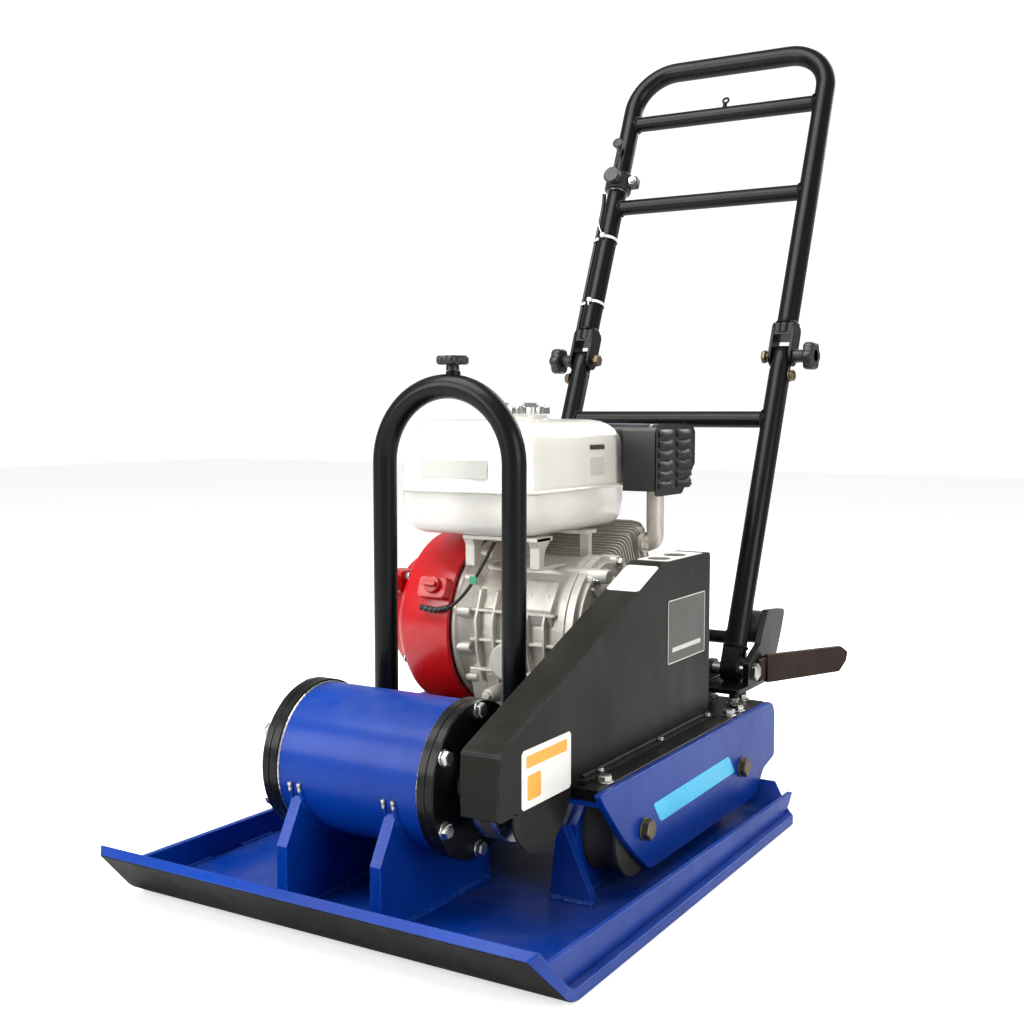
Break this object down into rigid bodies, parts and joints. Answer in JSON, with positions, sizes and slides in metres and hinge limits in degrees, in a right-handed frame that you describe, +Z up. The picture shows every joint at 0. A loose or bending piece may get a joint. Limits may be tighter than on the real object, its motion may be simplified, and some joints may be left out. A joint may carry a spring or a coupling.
{
  "type": "plate compactor",
  "caption": "Forward plate compactor: belt-driven exciter on an upturned base plate, engine deck on rubber mounts, lifting hoop and folding guide handle.",
  "frame": {"origin": "centre of the flat sole, on the ground", "axes": "+X to the machine's right (belt guard side), -Y to its front, +Z up"},
  "size_m": [0.5001, 1.029, 1.0143],
  "materials": {
    "blue_paint": "gloss",
    "black_paint": "semi-gloss",
    "rubber": "matte",
    "zinc_steel": "satin",
    "bronze_steel": "satin",
    "cast_alloy": "cast",
    "red_paint": "gloss",
    "red_plastic": "gloss",
    "tank_paint": "gloss",
    "black_plastic": "matte",
    "white_nylon": "matte",
    "hot_steel": "heat tinted",
    "yellow_plastic": "gloss",
    "brown_steel": "rusted"
  },
  "bodies": {
    "base": {"base_plate": "blue_paint", "side_upstands": "blue_paint", "exciter_gussets": "blue_paint", "mount_uprights": "blue_paint", "rubber_mounts": "rubber", "mount_nuts": "zinc_steel", "exciter_tube": "blue_paint", "exciter_covers": "black_paint", "exciter_bolts": "zinc_steel", "exciter_bearings": "zinc_steel", "shaft_seal": "rubber"},
    "exciter_rotor": {"exciter_shaft": "zinc_steel", "exciter_pulley": "zinc_steel"},
    "deck": {"engine_deck": "black_paint", "side_brackets": "blue_paint", "mount_bolts": "bronze_steel", "deck_bolts": "zinc_steel", "lifting_hoop": "black_paint", "belt_guard": "black_paint", "drive_belt": "rubber", "crankcase": "cast_alloy", "crankcase_cover": "cast_alloy", "cylinder_barrel": "cast_alloy", "cylinder_head": "cast_alloy", "rocker_cover": "cast_alloy", "spark_plug": "black_plastic", "fan_housing": "red_paint", "recoil_cover": "red_paint", "switch_lead": "black_plastic", "fuel_tank": "tank_paint", "tank_brackets": "cast_alloy", "carburettor": "cast_alloy", "air_cleaner": "black_plastic", "muffler": "black_paint", "muffler_guard": "black_paint", "exhaust_elbow": "hot_steel", "handle_feet": "black_paint", "handle_stop_rubbers": "rubber", "foot_pivot_rod": "zinc_steel", "cable_at_engine": "black_plastic", "rear_carry_bar": "brown_steel"},
    "crank": {"crankshaft": "zinc_steel", "flywheel": "cast_alloy", "clutch_pulley": "zinc_steel"},
    "hoop_knob": {"hoop_knob": "black_plastic"},
    "starter_grip": {"starter_grip": "black_plastic"},
    "engine_switch": {"engine_switch": "red_plastic"},
    "fuel_cap": {"fuel_cap": "zinc_steel"},
    "choke_lever": {"choke_lever": "black_plastic"},
    "fuel_tap": {"fuel_tap": "black_plastic"},
    "oil_plug": {"oil_plug": "yellow_plastic"},
    "lower_handle": {"lower_handle": "black_paint", "fold_bolts": "bronze_steel"},
    "upper_handle": {"upper_handle": "black_paint", "throttle_clamp": "black_plastic", "cable_on_handle": "black_plastic", "cable_ties": "white_nylon"},
    "fold_knob_right": {"fold_knob_right": "black_plastic"},
    "fold_knob_left": {"fold_knob_left": "black_plastic"},
    "throttle_lever": {"throttle_lever": "black_plastic"}
  },
  "joints": [
    {"name": "deck_float", "type": "slide", "parent": "base", "child": "deck", "axis": [0, 0, 1], "range_m": [-0.003, 0.003], "stiffness_N_per_m": 500000, "springref_m": 0.00118, "deforming": ["rubber_mounts", "drive_belt"]},
    {"name": "engine_spin", "type": "hinge", "parent": "deck", "child": "crank", "pos_m": [0, 0.13, 0.237], "axis": [1, 0, 0], "continuous": true},
    {"name": "exciter_spin", "type": "hinge", "parent": "base", "child": "exciter_rotor", "pos_m": [0, -0.185, 0.142], "axis": [1, 0, 0], "continuous": true},
    {"name": "foot_tilt", "type": "hinge", "parent": "deck", "child": "lower_handle", "pos_m": [0, 0.317, 0.166], "axis": [1, 0, 0], "range_deg": [0, 14]},
    {"name": "handle_fold", "type": "hinge", "parent": "lower_handle", "child": "upper_handle", "pos_m": [0, 0.48453, 0.55876], "axis": [1, 0, 0], "range_deg": [0, 100]},
    {"name": "right_knob_turn", "type": "hinge", "parent": "lower_handle", "child": "fold_knob_right", "pos_m": [0.17, 0.48453, 0.55876], "axis": [1, 0, 0], "range_deg": [0, 360]},
    {"name": "left_knob_turn", "type": "hinge", "parent": "lower_handle", "child": "fold_knob_left", "pos_m": [-0.17, 0.48453, 0.55876], "axis": [-1, 0, 0], "range_deg": [0, 360]},
    {"name": "throttle", "type": "hinge", "parent": "upper_handle", "child": "throttle_lever", "pos_m": [-0.15, 0.59909, 0.82735], "axis": [0, -0.9198, 0.3923], "range_deg": [0, 75]},
    {"name": "hoop_knob_turn", "type": "hinge", "parent": "deck", "child": "hoop_knob", "pos_m": [0, -0.082, 0.53], "axis": [0, 0, 1], "range_deg": [0, 360]},
    {"name": "starter_pull", "type": "slide", "parent": "deck", "child": "starter_grip", "axis": [0, -1, 0], "range_m": [0, 0.4], "stiffness_N_per_m": 20, "springref_m": -0.05},
    {"name": "switch_turn", "type": "hinge", "parent": "deck", "child": "engine_switch", "pos_m": [-0.098, 0.01847, 0.29003], "axis": [0, -0.9397, 0.342], "range_deg": [0, 60]},
    {"name": "cap_turn", "type": "hinge", "parent": "deck", "child": "fuel_cap", "pos_m": [-0.0435, 0.131, 0.49], "axis": [0, 0, 1], "range_deg": [0, 90]},
    {"name": "choke_turn", "type": "hinge", "parent": "deck", "child": "choke_lever", "pos_m": [-0.094, 0.264, 0.33], "axis": [0, 1, 0], "range_deg": [0, 60]},
    {"name": "fuel_tap_turn", "type": "hinge", "parent": "deck", "child": "fuel_tap", "pos_m": [-0.08, 0.264, 0.302], "axis": [0, 1, 0], "range_deg": [0, 90]},
    {"name": "oil_plug_turn", "type": "hinge", "parent": "deck", "child": "oil_plug", "pos_m": [0.08, 0.068, 0.175], "axis": [1, 0, 0], "range_deg": [0, 360]}
  ],
  "couplings": [
    {"joint": "exciter_spin", "follows": "engine_spin", "ratio": 1.1739}
  ]
}
